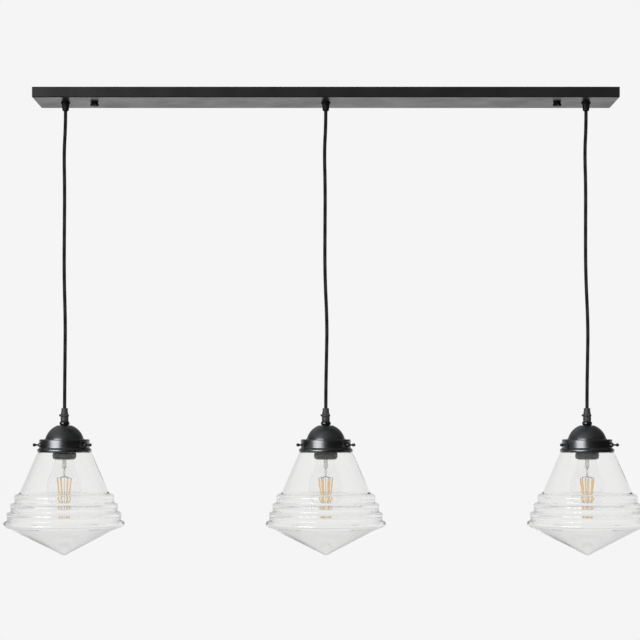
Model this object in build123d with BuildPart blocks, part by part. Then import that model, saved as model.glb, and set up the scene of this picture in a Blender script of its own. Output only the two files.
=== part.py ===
from build123d import *
import math
import os

# Linear island pendant: a long shallow canopy bar with three lamps on textile cords, each a
# domed cap and gallery that holds a stepped clear glass shade round a filament bulb.
# Millimetres. The origin is the middle of the ceiling face, +Z is up, X runs along the bar and
# the front faces -Y. Every depth below is counted down from the canopy's underside.

os.makedirs("parts", exist_ok=True)

# Fits
seat_gap = 0.3
running_gap = 0.1
slip_gap = 0.05

# Canopy tray, folded from sheet and open at the top
canopy_length = 1000.0
canopy_width = 105.0
canopy_height = 18.0
canopy_wall = 1.5
canopy_bend = 1.6
lamp_inset = 50.0
lamp_pitch = canopy_length / 2 - lamp_inset
lamps = {"left": -lamp_pitch, "centre": 0.0, "right": lamp_pitch}

# Ceiling bracket with its two weld studs
stud_inset = 100.0
stud_pitch = canopy_length - 2 * stud_inset
stud_edge = 30.0
bracket_length = stud_pitch + 2 * stud_edge
bracket_width = 30.0
bracket_sheet = 2.0
bracket_corner = 4.0
stud_radius = 2.0
stud_grip = 5.0
stud_hole_radius = 2.6
screw_slot_pitches = (stud_pitch / 4, stud_pitch * 3 / 4)
screw_slot_length = 14.0
screw_slot_width = 5.2
cable_hole_x = 62.0
cable_hole_radius = 8.0

# Thumb nuts under the canopy
nut_shoulder_radius = 6.2
nut_shoulder_height = 1.2
nut_head_radius = 7.2
nut_head_height = 5.0
nut_chamfer = 0.6

# Cord and the grips it hangs from
cord_radius = 3.0
cord_bore = cord_radius + seat_gap
grip_flange_radius = 8.0
grip_flange_height = 2.2
grip_root_radius = 6.8
grip_tip_radius = 5.3
grip_height = 14.0
grip_thread_radius = 5.0
grip_thread_height = 6.5
grip_mouth_radius = 4.35
grip_mouth_depth = 2.8
pivot_inset = 2.0
locknut_flats = 14.0
locknut_height = 3.0
core_radius = 1.0
core_height = 5.0
core_inset = 1.4
core_pocket_radius = 1.8
core_pocket_depth = 2.0

# Cord clamp, collar and nipple at the head of each lamp
cord_drop = 528.0
clamp_top_radius = 5.4
clamp_neck_radius = 6.4
clamp_neck_height = 10.4
clamp_band_radius = 7.7
clamp_band_height = 4.0
clamp_body_radius = 6.9
clamp_height = 22.8
clamp_bevel = 1.2
clamp_seat_depth = 15.2
clamp_web = 1.2
clamp_lead_radius = 2.4
clamp_screw_radius = 1.5
clamp_screw_head_radius = 2.2
clamp_screw_head_height = 1.4
collar_radius = 8.8
collar_face_radius = 6.7
collar_edge = 1.0
collar_height = 6.9
nipple_radius = 5.0
nipple_bore = 3.5
nipple_nut_flats = 14.0
nipple_nut_height = 3.0

# Domed cap
cap_sheet = 1.2
dome_radius = 34.0
dome_base_radius = 33.1
dome_height = 24.1
dome_foot = 0.8
lining_chords = 4

# Gallery that carries the glass
gallery_radius = 43.0
gallery_height = 22.0
gallery_corner = 1.2
gallery_hole_radius = 17.0
bead_radius = 3.05
bead_reach = 3.4
screw_depth = 9.3
screw_radius = 1.5
screw_boss_radius = 4.0
screw_boss_reach = 4.7
screw_knob_radius = 2.8
screw_knob_length = 5.2
screw_reach = 57.6
screw_angles = {"rear": 90.0, "left": 210.0, "right": 330.0}

# Glass shade
glass_lip_radius = 40.0
glass_lip_height = 4.3
glass_groove_radius = 37.6
glass_wall = 4.0
cone_top_radius = 46.6
cone_end_radius = 77.0
cone_end_depth = 92.5
step_radii = (86.4, 93.0, 98.7)
step_pitch = 15.4
step_ledge_drop = 3.0
step_round = 4.0
step_taper = 1.8
rim_radius = 103.5
rim_height = 9.0
rim_round = 3.0
shade_bottom_depth = 199.2
tip_radius = 8.0

# Lampholder and bulb
holder_radius = 20.5
holder_waist_radius = 19.7
holder_top_radius = 16.3
holder_crown_radius = 9.0
holder_top_depth = -16.0
holder_crown_height = 7.0
holder_bottom_depth = 32.7
holder_skirt_bore = 17.6
holder_skirt_depth = 6.0
socket_bore = 13.9
socket_roof_depth = 3.6
socket_liner = 0.35
nipple_entry = 7.0
tongue_width = 5.0
tongue_length = 16.0
tongue_sheet = 0.8
tongue_drop = 2.0
bulb_length = 107.0
bulb_radius = 30.0
bulb_cap_radius = 13.1
bulb_cap_length = 26.0
bulb_cap_wall = 0.4
bulb_button_radius = 4.8
bulb_shoulder_height = 6.0
bulb_neck_radius = 17.0
bulb_neck_height = 30.5
bulb_upper_round = 54.7
bulb_upper_height = 23.9
bulb_wall = 0.9
stem_radius = 4.0
stem_foot_radius = 8.5
stem_depth = 44.0
filament_radius = 0.9
filament_top_ring = 12.0
filament_bottom_ring = 6.5
filament_top_depth = 60.0
filament_length = 37.0
filament_count = 6
ring_wire_radius = 0.5

# Wiring inside the canopy
inner_cord_radius = 2.5
inner_cord_rise = 4.2
inner_cord_bend = 4.0
block_x = 62.0
block_length = 34.0
block_width = 27.0
block_height = 11.0
block_y = 32.0
block_edge = 1.5
terminal_screw_radius = 1.8
terminal_screw_height = 0.9
terminal_rows = 3
terminal_pitch = 8.0

# Levels that follow from the sizes above
floor_depth = -canopy_wall
pivot_depth = grip_height - pivot_inset
clamp_bottom = cord_drop + clamp_height
clamp_seat = cord_drop + clamp_seat_depth
clamp_screw_depth = cord_drop + clamp_neck_height + clamp_band_height / 2
collar_bottom = clamp_bottom + collar_height
gallery_top = collar_bottom + dome_height
gallery_bottom = gallery_top + gallery_height
dome_centre = gallery_top + math.sqrt(dome_radius**2 - dome_base_radius**2)
thumb_screw_level = gallery_top + screw_depth
lip_bottom = thumb_screw_level - screw_radius - seat_gap
shade_shoulder = gallery_bottom + seat_gap
bulb_tip = gallery_top + socket_roof_depth + tongue_sheet + tongue_drop + seat_gap
bulb_bottom = bulb_tip + bulb_length

# Each cord's route by hand, as (sideways, forward, depth), with its end points to be added.
cord_routes = {
    "left": [
        (0.0, 0.0, 42.0),
        (-2.4, 0.4, 86.0),
        (-1.0, 0.3, 150.0),
        (-1.5, -0.5, 222.0),
        (-1.6, 0.2, 300.0),
        (0.9, 0.4, 378.0),
        (0.4, -0.4, 440.0),
        (0.0, 0.0, 502.0),
    ],
    "centre": [
        (0.0, 0.0, 40.0),
        (-2.5, -0.3, 84.0),
        (-0.9, -0.4, 150.0),
        (-1.4, 0.5, 220.0),
        (-1.7, 0.1, 296.0),
        (2.3, -0.4, 382.0),
        (1.2, 0.2, 440.0),
        (0.0, 0.0, 500.0),
    ],
    "right": [
        (0.0, 0.0, 41.0),
        (-2.5, 0.3, 85.0),
        (-0.9, 0.4, 148.0),
        (-1.5, -0.4, 221.0),
        (-1.6, 0.3, 298.0),
        (2.2, 0.3, 384.0),
        (1.3, -0.3, 442.0),
        (0.0, 0.0, 501.0),
    ],
}


def at(radius, depth):
    """A point of a lamp's section: how far from its axis, and how deep."""
    return (radius, -canopy_height - depth)


def section(x):
    """The upright plane through a lamp's axis, seen from the front."""
    return Plane(origin=(x, 0, 0), x_dir=(1, 0, 0), z_dir=(0, -1, 0))


def level(x, depth):
    """The flat plane that crosses a lamp's axis at a depth."""
    return Plane(origin=(x, 0, -canopy_height - depth))


def outward(x, radius, depth, angle):
    """The plane square to a radial screw, at a radius from a lamp's axis."""
    along = (math.cos(math.radians(angle)), math.sin(math.radians(angle)), 0)
    origin = (x + radius * along[0], radius * along[1], -canopy_height - depth)
    return Plane(origin=origin, z_dir=along)


def upright(x):
    return Axis((x, 0, 0), (0, 0, 1))


def save(piece, name):
    piece.part.label = name
    export_step(piece.part, f"parts/{name}.step")


def make_canopy_tray():
    with BuildPart() as tray:
        with BuildSketch(Plane.XY.offset(-canopy_height)):
            Rectangle(canopy_length, canopy_width)
        extrude(amount=canopy_height)
        fillet(tray.edges().filter_by(Axis.Z), canopy_bend)
        fillet(tray.faces().sort_by(Axis.Z)[0].edges(), canopy_bend)
        offset(amount=-canopy_wall, openings=tray.faces().sort_by(Axis.Z)[-1])
        with BuildSketch(Plane.XY.offset(-canopy_height)):
            with Locations([(x, 0) for x in lamps.values()]):
                Circle(grip_thread_radius + seat_gap)
            with Locations((-stud_pitch / 2, 0), (stud_pitch / 2, 0)):
                Circle(stud_hole_radius)
        extrude(amount=canopy_wall, mode=Mode.SUBTRACT)
    save(tray, "canopy_tray")


def make_ceiling_bracket():
    with BuildPart() as bracket:
        with BuildSketch(Plane.XY.offset(-bracket_sheet)):
            RectangleRounded(bracket_length, bracket_width, bracket_corner)
            for pitch in screw_slot_pitches:
                with Locations((-pitch / 2, 0), (pitch / 2, 0)):
                    SlotOverall(screw_slot_length, screw_slot_width, mode=Mode.SUBTRACT)
            with Locations((cable_hole_x, 0)):
                Circle(cable_hole_radius, mode=Mode.SUBTRACT)
        extrude(amount=bracket_sheet)
        with BuildSketch(Plane.XY.offset(-canopy_height - stud_grip)):
            with Locations((-stud_pitch / 2, 0), (stud_pitch / 2, 0)):
                Circle(stud_radius)
        extrude(amount=stud_grip + canopy_height - bracket_sheet)
    save(bracket, "ceiling_bracket")


def make_thumb_nut(side, x):
    with BuildPart() as nut:
        with BuildSketch(level(x, nut_shoulder_height)):
            Circle(nut_head_radius)
        extrude(amount=-nut_head_height)
        chamfer(nut.edges().filter_by(GeomType.CIRCLE), nut_chamfer)
        with BuildSketch(level(x, 0)):
            Circle(nut_shoulder_radius)
        extrude(amount=-nut_shoulder_height)
        with BuildSketch(level(x, 0)):
            Circle(stud_radius + slip_gap)
        extrude(amount=-stud_grip - seat_gap, mode=Mode.SUBTRACT)
    save(nut, f"thumb_nut_{side}")


def make_cord_grips():
    with BuildPart() as grips:
        for x in lamps.values():
            with BuildSketch(section(x)):
                with BuildLine():
                    Polyline(
                        at(cord_bore, floor_depth + canopy_wall - grip_thread_height),
                        at(grip_thread_radius, floor_depth + canopy_wall - grip_thread_height),
                        at(grip_thread_radius, 0),
                        at(grip_flange_radius, 0),
                        at(grip_flange_radius, grip_flange_height),
                        at(grip_root_radius, grip_flange_height),
                        at(grip_tip_radius, grip_height),
                        at(grip_mouth_radius, grip_height),
                        at(cord_bore, grip_height - grip_mouth_depth),
                        close=True,
                    )
                make_face()
            revolve(axis=upright(x))
    save(grips, "cord_grips")


def make_grip_locknuts():
    with BuildPart() as locknuts:
        with BuildSketch(Plane.XY.offset(-canopy_height + canopy_wall)):
            with Locations([(x, 0) for x in lamps.values()]):
                RegularPolygon(locknut_flats / 2, 6, major_radius=False)
                Circle(grip_thread_radius + slip_gap, mode=Mode.SUBTRACT)
        extrude(amount=locknut_height)
    save(locknuts, "grip_locknuts")


def make_terminal_block():
    floor = -canopy_height + canopy_wall
    with BuildPart() as block:
        with BuildSketch(Plane.XY.offset(floor)):
            with Locations((block_x, block_y)):
                Rectangle(block_length, block_width)
        extrude(amount=block_height)
        chamfer(block.faces().sort_by(Axis.Z)[-1].edges(), block_edge)
    save(block, "terminal_block")
    with BuildPart() as screws:
        with BuildSketch(Plane.XY.offset(floor + block_height)):
            with Locations((block_x, block_y)):
                with GridLocations(block_length / 2, terminal_pitch, 2, terminal_rows):
                    Circle(terminal_screw_radius)
        extrude(amount=terminal_screw_height)
    save(screws, "terminal_screws")


def make_inner_cords():
    """The cords' tails: up out of each grip, over its nut and along the tray to the block."""
    run = -canopy_height + canopy_wall + inner_cord_radius + running_gap
    grip_top = -canopy_height + grip_thread_height
    over = grip_top + inner_cord_rise
    with BuildPart() as tails:
        for lane, x in zip((-terminal_pitch, terminal_pitch, 0.0), lamps.values()):
            side = math.copysign(1, block_x - x)
            end = block_x - side * block_length / 2
            lane_y = block_y + lane
            with BuildLine():
                path = FilletPolyline(
                    (x, 0, grip_top),
                    (x, 0, over),
                    (x, lane_y - 2 * inner_cord_bend, over),
                    (x, lane_y, run),
                    (end, lane_y, run),
                    radius=inner_cord_bend,
                )
            with BuildSketch(Plane(origin=path @ 0, z_dir=path % 0)):
                Circle(inner_cord_radius)
            sweep(path=path)
    save(tails, "inner_cords")


def make_cord(side, x):
    """The textile cord, with a round end that turns in the grip's mouth."""
    ends = [(0.0, 0.0, pivot_depth), (0.0, 0.0, clamp_seat)]
    route = [ends[0], *cord_routes[side], ends[1]]
    points = [Vector(x + right, -forward, -canopy_height - depth) for right, forward, depth in route]
    radii = []
    for before, corner, after in zip(points, points[1:], points[2:]):
        turn = (corner - before).get_angle(after - corner)
        run = min((corner - before).length, (after - corner).length)
        radii.append(0.45 * run / math.tan(math.radians(turn / 2)))
    print(side, "cord bend radii", [round(radius) for radius in radii])
    with BuildPart() as cord:
        with BuildLine():
            path = FilletPolyline(*points, radius=radii)
        with BuildSketch(Plane(origin=points[0], z_dir=points[1] - points[0])):
            Circle(cord_radius)
        sweep(path=path)
        plain = math.pi * cord_radius**2 * path.length
        print(side, "cord volume", round(cord.part.volume), "section by length", round(plain))
        with Locations(level(x, pivot_depth)):
            Sphere(cord_radius)
        with BuildSketch(level(x, pivot_depth - cord_radius)):
            Circle(core_pocket_radius)
        extrude(amount=-cord_radius - core_pocket_depth, mode=Mode.SUBTRACT)
    save(cord, f"{side}_cord")


def make_cord_core(side, x):
    with BuildPart() as core:
        with BuildSketch(level(x, pivot_depth + core_inset)):
            Circle(core_radius)
        extrude(amount=core_height)
    save(core, f"{side}_cord_core")


def make_clamp(side, x):
    band_top = cord_drop + clamp_neck_height
    band_bottom = band_top + clamp_band_height
    nipple_top = clamp_seat + clamp_web
    with BuildPart() as clamp:
        with BuildSketch(section(x)):
            with BuildLine():
                Polyline(
                    at(cord_bore, cord_drop),
                    at(clamp_top_radius, cord_drop),
                    at(clamp_top_radius + clamp_bevel / 2, cord_drop + clamp_bevel),
                    at(clamp_neck_radius, band_top),
                    at(clamp_band_radius, band_top + clamp_bevel),
                    at(clamp_band_radius, band_bottom - clamp_bevel),
                    at(clamp_body_radius, band_bottom),
                    at(clamp_body_radius, clamp_bottom),
                    at(nipple_radius + slip_gap, clamp_bottom),
                    at(nipple_radius + slip_gap, nipple_top),
                    at(clamp_lead_radius, nipple_top),
                    at(clamp_lead_radius, clamp_seat),
                    at(cord_bore, clamp_seat),
                    close=True,
                )
            make_face()
        revolve(axis=upright(x))
        with BuildSketch(outward(x, clamp_band_radius, clamp_screw_depth, 180)):
            Circle(clamp_screw_radius + slip_gap)
        extrude(amount=-clamp_band_radius + cord_radius, mode=Mode.SUBTRACT)
        with BuildSketch(outward(x, clamp_band_radius, clamp_screw_depth, 180)):
            Circle(clamp_screw_head_radius)
        extrude(amount=clamp_screw_head_height)
        with BuildSketch(outward(x, clamp_band_radius, clamp_screw_depth, 180)):
            Circle(clamp_screw_radius)
        extrude(amount=-clamp_band_radius + cord_radius + running_gap)
    save(clamp, f"{side}_cord_clamp")


def make_collar(side, x):
    with BuildPart() as collar:
        with BuildSketch(section(x)):
            with BuildLine():
                Polyline(
                    at(collar_face_radius, clamp_bottom),
                    at(collar_radius - collar_edge, clamp_bottom + collar_edge),
                    at(collar_radius, clamp_bottom + 2 * collar_edge),
                    at(collar_radius, collar_bottom - 2 * collar_edge),
                    at(collar_radius - collar_edge, collar_bottom - collar_edge),
                    at(collar_face_radius, collar_bottom),
                    at(nipple_radius + running_gap, collar_bottom),
                    at(nipple_radius + running_gap, clamp_bottom),
                    close=True,
                )
            make_face()
        revolve(axis=upright(x))
    save(collar, f"{side}_collar")


def make_nipple(side, x):
    """The hollow threaded tube that ties clamp, cap and lampholder, and its nut."""
    top = clamp_seat + clamp_web + seat_gap
    bottom = gallery_top + holder_top_depth + nipple_entry
    with BuildPart() as nipple:
        with BuildSketch(level(x, bottom)):
            Circle(nipple_radius)
            Circle(nipple_bore, mode=Mode.SUBTRACT)
        extrude(amount=bottom - top)
        with BuildSketch(level(x, collar_bottom + cap_sheet)):
            RegularPolygon(nipple_nut_flats / 2, 6, major_radius=False)
            Circle(nipple_radius, mode=Mode.SUBTRACT)
        extrude(amount=-nipple_nut_height)
    save(nipple, f"{side}_nipple")


def make_dome(side, x):
    inner_radius = dome_radius - cap_sheet
    inner_top = collar_bottom + cap_sheet
    top_flat = math.sqrt(dome_radius**2 - (dome_centre - collar_bottom) ** 2)
    first_turn = math.asin((dome_centre - gallery_top) / inner_radius)
    last_turn = math.asin((dome_centre - inner_top) / inner_radius)
    one_chord = (last_turn - first_turn) / lining_chords
    turns = [first_turn + one_chord * step for step in range(lining_chords + 1)]
    lining = [
        at(inner_radius * math.cos(turn), dome_centre - inner_radius * math.sin(turn))
        for turn in turns
    ]
    foot_top = gallery_top - cap_sheet
    foot_join = math.sqrt(dome_radius**2 - (dome_centre - foot_top) ** 2)
    with BuildPart() as dome:
        with BuildSketch(section(x)):
            with BuildLine():
                RadiusArc(at(top_flat, collar_bottom), at(foot_join, foot_top), dome_radius)
                Polyline(
                    at(foot_join, foot_top),
                    at(dome_base_radius + dome_foot, foot_top),
                    at(dome_base_radius + dome_foot, gallery_top),
                    at(inner_radius * math.cos(first_turn), gallery_top),
                )
                Polyline(
                    *lining,
                    at(nipple_radius + running_gap, inner_top),
                    at(nipple_radius + running_gap, collar_bottom),
                    at(top_flat, collar_bottom),
                )
            make_face()
        revolve(axis=upright(x))
    save(dome, f"{side}_dome")


def make_gallery(side, x):
    inner = gallery_radius - cap_sheet
    bead_top = gallery_bottom - 2 * bead_radius
    bead_edge = gallery_radius + bead_reach
    with BuildPart() as gallery:
        with BuildSketch(section(x)):
            with BuildLine():
                Polyline(
                    at(gallery_hole_radius, gallery_top),
                    at(gallery_radius - gallery_corner, gallery_top),
                    at(gallery_radius, gallery_top + gallery_corner),
                    at(gallery_radius, bead_top + bead_radius / 2),
                    at(bead_edge - bead_radius, bead_top),
                    at(bead_edge, bead_top + bead_radius),
                    at(bead_edge, gallery_bottom - bead_radius / 2),
                    at(bead_edge - bead_radius / 2, gallery_bottom),
                    at(inner, gallery_bottom),
                    at(inner, gallery_top + cap_sheet),
                    at(gallery_hole_radius, gallery_top + cap_sheet),
                    close=True,
                )
            make_face()
        revolve(axis=upright(x))
        for angle in screw_angles.values():
            with BuildSketch(outward(x, inner + cap_sheet / 2, thumb_screw_level, angle)):
                Circle(screw_boss_radius)
            extrude(amount=cap_sheet / 2 + screw_boss_reach)
        for angle in screw_angles.values():
            with BuildSketch(outward(x, glass_lip_radius, thumb_screw_level, angle)):
                Circle(screw_radius + running_gap)
            extrude(amount=gallery_radius - glass_lip_radius + 2 * screw_boss_reach, mode=Mode.SUBTRACT)
    save(gallery, f"{side}_gallery")


def make_thumb_screw(side, x, place, angle):
    tip = glass_groove_radius + seat_gap
    knob_start = screw_reach - screw_knob_length
    with BuildPart() as screw:
        with BuildSketch(outward(x, tip, thumb_screw_level, angle)):
            Circle(screw_radius)
        extrude(amount=knob_start - tip)
        with BuildSketch(outward(x, knob_start, thumb_screw_level, angle)):
            Circle(screw_knob_radius)
        extrude(amount=screw_knob_length)
    save(screw, f"{side}_thumb_screw_{place}")


def shoulder(radius, depth, rounding):
    """A rounded outer corner of the glass, in two flats."""
    middle = rounding * (1 - math.sqrt(0.5))
    return [
        (radius - rounding, depth),
        (radius - middle, depth + middle),
        (radius, depth + rounding),
    ]


def shade_outside():
    """The glass's outer corners from the lip down to the rim."""
    corners = [
        (glass_lip_radius, lip_bottom - glass_lip_height),
        (glass_lip_radius, lip_bottom),
        (glass_groove_radius, lip_bottom),
        (glass_groove_radius, shade_shoulder),
        (cone_top_radius, shade_shoulder + seat_gap),
    ]
    ledge = gallery_top + cone_end_depth
    corners.append((cone_end_radius, ledge))
    for radius in step_radii:
        corners += shoulder(radius, ledge + step_ledge_drop, step_round)
        ledge += step_pitch
        corners.append((radius - step_taper, ledge))
    corners += shoulder(rim_radius, ledge + step_ledge_drop, rim_round)
    corners.append((rim_radius, ledge + rim_height))
    corners.append((rim_radius - rim_round, ledge + rim_height + rim_round))
    return corners


def shade_inside():
    """The inner corners, which follow the steps one wall in."""
    slant = (cone_end_radius - cone_top_radius) / (gallery_top + cone_end_depth - shade_shoulder)
    across = glass_wall * math.hypot(1, slant)
    throat = shade_shoulder + glass_wall
    corners = [
        (glass_groove_radius - glass_wall, lip_bottom - glass_lip_height),
        (glass_groove_radius - glass_wall, throat - glass_wall / 2),
        (cone_top_radius + slant * glass_wall - across, throat),
    ]
    ledge = gallery_top + cone_end_depth
    corners.append((cone_end_radius - across, ledge))
    for radius in step_radii:
        inner_radius = radius - step_taper - glass_wall
        corners.append((inner_radius, ledge + step_ledge_drop + glass_wall))
        ledge += step_pitch
        corners.append((inner_radius, ledge + glass_wall / 2))
    corners.append((rim_radius - 1.5 * glass_wall, ledge + step_ledge_drop + glass_wall))
    corners.append((rim_radius - 1.5 * glass_wall, ledge + rim_height))
    return corners


def make_shade(side, x):
    outside = shade_outside()
    inside = shade_inside()
    rim_corner, rim_level = outside[-1]
    bottom = gallery_top + shade_bottom_depth
    fall = math.atan2(bottom - rim_level, rim_corner)
    tip_edge = tip_radius * math.sin(fall)
    tip_level = bottom - tip_radius * (1 - math.cos(fall))
    with BuildPart() as shade:
        with BuildSketch(section(x)):
            with BuildLine():
                Polyline(*[at(*corner) for corner in outside], at(tip_edge, tip_level))
                RadiusArc(at(tip_edge, tip_level), at(0, bottom), tip_radius)
                Polyline(
                    at(0, bottom),
                    at(0, bottom - 1.5 * glass_wall),
                    *[at(*corner) for corner in reversed(inside)],
                    at(*outside[0]),
                )
            make_face()
        revolve(axis=upright(x))
    save(shade, f"{side}_shade")


def make_lampholder(side, x):
    top = gallery_top + holder_top_depth
    shoulder = gallery_top + cap_sheet
    bottom = gallery_top + holder_bottom_depth
    roof = gallery_top + socket_roof_depth
    with BuildPart() as holder:
        with BuildSketch(section(x)):
            with BuildLine():
                Polyline(
                    at(nipple_radius + slip_gap, top),
                    at(holder_crown_radius, top),
                    at(holder_top_radius, top + holder_crown_height),
                    at(holder_top_radius, shoulder),
                    at(holder_radius, shoulder),
                    at(holder_waist_radius, (shoulder + bottom) / 2),
                    at(holder_radius, bottom),
                    at(holder_skirt_bore, bottom),
                    at(holder_skirt_bore, bottom - holder_skirt_depth),
                    at(socket_bore, bottom - holder_skirt_depth),
                    at(socket_bore, roof),
                    at(nipple_bore, roof),
                    at(nipple_bore, top + nipple_entry),
                    at(nipple_radius + slip_gap, top + nipple_entry),
                    close=True,
                )
            make_face()
        revolve(axis=upright(x))
    save(holder, f"{side}_lampholder")


def make_contacts(side, x):
    """The screw shell's liner and the centre tongue that the bulb's button presses."""
    roof = gallery_top + socket_roof_depth
    liner_bottom = gallery_top + holder_bottom_depth - holder_skirt_depth
    liner_top = bulb_tip + bulb_shoulder_height
    with BuildPart() as contacts:
        with BuildSketch(level(x, liner_bottom)):
            Circle(socket_bore)
            Circle(socket_bore - socket_liner, mode=Mode.SUBTRACT)
        extrude(amount=liner_bottom - liner_top)
        with BuildSketch(section(x)):
            with BuildLine():
                middle = [
                    at(-tongue_length / 2, roof),
                    at(-tongue_width, roof),
                    at(0, roof + tongue_drop),
                    at(tongue_width, roof),
                    at(tongue_length / 2, roof),
                ]
                lower = [(right, height - tongue_sheet) for right, height in reversed(middle)]
                Polyline(*middle, *lower, close=True)
            make_face()
        extrude(amount=tongue_width / 2, both=True)
    save(contacts, f"{side}_contacts")


def make_bulb_cap(side, x):
    shell_top = bulb_tip + bulb_shoulder_height
    cap_bottom = bulb_tip + bulb_cap_length
    cavity_radius = bulb_cap_radius - bulb_cap_wall
    with BuildPart() as cap:
        with BuildSketch(section(x)):
            with BuildLine():
                Polyline(
                    at(0, bulb_tip),
                    at(bulb_button_radius, bulb_tip),
                    at(bulb_button_radius, bulb_tip + bulb_button_radius / 4),
                    at(bulb_cap_radius, shell_top),
                    at(bulb_cap_radius, cap_bottom),
                    at(cavity_radius, cap_bottom),
                    at(cavity_radius, shell_top + bulb_shoulder_height),
                    at(0, shell_top + bulb_shoulder_height),
                    close=True,
                )
            make_face()
        revolve(axis=upright(x))
    save(cap, f"{side}_bulb_cap")


def make_bulb_glass(side, x):
    centre = bulb_bottom - bulb_radius
    neck = bulb_tip + bulb_neck_height
    tuck_radius = bulb_cap_radius - bulb_cap_wall - slip_gap
    tuck_top = bulb_tip + 2 * bulb_shoulder_height + seat_gap
    cap_bottom = bulb_tip + bulb_cap_length
    belly = centre - bulb_upper_height
    rise = math.asin(bulb_upper_height / bulb_upper_round)
    belly_radius = bulb_radius - bulb_upper_round * (1 - math.cos(rise))
    inner_radius = bulb_radius - bulb_wall
    turns = [math.pi / 2 * step / lining_chords for step in range(lining_chords + 1)]
    lining = [at(inner_radius * math.cos(turn), centre + inner_radius * math.sin(turn)) for turn in turns]
    with BuildPart() as glass:
        with BuildSketch(section(x)):
            with BuildLine():
                RadiusArc(at(0, bulb_bottom), at(bulb_radius, centre), -bulb_radius)
                RadiusArc(at(bulb_radius, centre), at(belly_radius, belly), -bulb_upper_round)
                TangentArc(
                    at(belly_radius, belly),
                    at(bulb_neck_radius, neck),
                    tangent=(-math.sin(rise), math.cos(rise)),
                )
                Polyline(
                    at(bulb_neck_radius, neck),
                    at(tuck_radius, cap_bottom),
                    at(tuck_radius, tuck_top),
                    at(tuck_radius - bulb_wall, tuck_top),
                    at(tuck_radius - bulb_wall, cap_bottom + bulb_wall),
                    at(bulb_neck_radius - bulb_wall, neck + bulb_wall),
                    at(belly_radius - bulb_wall, belly + bulb_wall),
                    *lining,
                    at(0, bulb_bottom),
                )
            make_face()
        revolve(axis=upright(x))
    save(glass, f"{side}_bulb_glass")


def make_bulb_stem(side, x):
    """The pressed glass mount inside the bulb, which carries the filaments."""
    foot_top = bulb_tip + 2 * bulb_shoulder_height + seat_gap
    end = bulb_tip + stem_depth
    with BuildPart() as stem:
        with BuildSketch(section(x)):
            with BuildLine():
                Polyline(
                    at(0, foot_top),
                    at(stem_foot_radius, foot_top),
                    at(stem_radius, foot_top + stem_foot_radius),
                    at(stem_radius / 2, end),
                    at(0, end),
                    close=True,
                )
            make_face()
        revolve(axis=upright(x))
    save(stem, f"{side}_bulb_stem")


def make_filaments(side, x):
    """A cone of straight filaments between two support rings, hung on the stem's lead wires."""
    top = bulb_tip + filament_top_depth
    bottom = top + filament_length
    stem_end = bulb_tip + stem_depth
    with BuildPart() as filaments:
        for number in range(filament_count):
            angle = 2 * math.pi * (number + 0.5) / filament_count
            spread = Vector(math.cos(angle), math.sin(angle), 0)
            high = Vector(x, 0, -canopy_height - top) + spread * filament_top_ring
            low = Vector(x, 0, -canopy_height - bottom) + spread * filament_bottom_ring
            with BuildSketch(Plane(origin=high, z_dir=low - high)):
                Circle(filament_radius)
            extrude(amount=(low - high).length)
        for depth, radius in ((top, filament_top_ring), (bottom, filament_bottom_ring)):
            with BuildSketch(level(x, depth)):
                Circle(radius + ring_wire_radius)
                Circle(radius - ring_wire_radius, mode=Mode.SUBTRACT)
                with Locations((0, 0)):
                    Rectangle(2 * radius, 2 * ring_wire_radius)
            extrude(amount=ring_wire_radius, both=True)
        with BuildSketch(level(x, stem_end)):
            Circle(2 * ring_wire_radius)
        extrude(amount=stem_end - top)
    save(filaments, f"{side}_filaments")


make_canopy_tray()
make_ceiling_bracket()
make_thumb_nut("left", -stud_pitch / 2)
make_thumb_nut("right", stud_pitch / 2)
make_cord_grips()
make_grip_locknuts()
make_terminal_block()
make_inner_cords()
for side, x in lamps.items():
    make_cord(side, x)
    make_cord_core(side, x)
    make_clamp(side, x)
    make_collar(side, x)
    make_nipple(side, x)
    make_dome(side, x)
    make_gallery(side, x)
    for place, angle in screw_angles.items():
        make_thumb_screw(side, x, place, angle)
    make_shade(side, x)
    make_lampholder(side, x)
    make_contacts(side, x)
    make_bulb_cap(side, x)
    make_bulb_glass(side, x)
    make_bulb_stem(side, x)
    make_filaments(side, x)
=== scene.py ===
import math
import bmesh
import bpy
from mathutils import Matrix, Vector


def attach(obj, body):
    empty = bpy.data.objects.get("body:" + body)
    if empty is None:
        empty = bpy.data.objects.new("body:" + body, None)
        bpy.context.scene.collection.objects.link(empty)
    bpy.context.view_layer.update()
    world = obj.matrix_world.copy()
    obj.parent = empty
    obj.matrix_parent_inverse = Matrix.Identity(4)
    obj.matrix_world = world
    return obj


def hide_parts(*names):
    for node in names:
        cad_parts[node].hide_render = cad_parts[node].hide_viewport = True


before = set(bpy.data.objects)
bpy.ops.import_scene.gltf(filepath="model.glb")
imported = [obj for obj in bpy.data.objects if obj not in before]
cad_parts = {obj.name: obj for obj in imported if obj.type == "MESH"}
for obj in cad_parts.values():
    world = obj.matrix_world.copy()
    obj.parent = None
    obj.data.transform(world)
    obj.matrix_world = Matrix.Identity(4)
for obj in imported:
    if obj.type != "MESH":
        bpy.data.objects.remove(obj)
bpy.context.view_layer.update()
scene = bpy.context.scene
scene.view_settings.view_transform = "Standard"
# light runs many times round inside the thick glass before it leaves
scene.cycles.max_bounces = 32
scene.cycles.glossy_bounces = 24
scene.cycles.transmission_bounces = 24
print("frame loaded", len(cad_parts), "nodes")

mm = 0.001
canopyHeight = 18  # millimetres, as every length in the piece dictionaries
lampX = {"left": -450, "centre": 0, "right": 450}


def place(x, forward, depth):
    # a point in metres, its depth counted down from the canopy's underside
    return Vector((x, -forward, -canopyHeight - depth)) * mm


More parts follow.
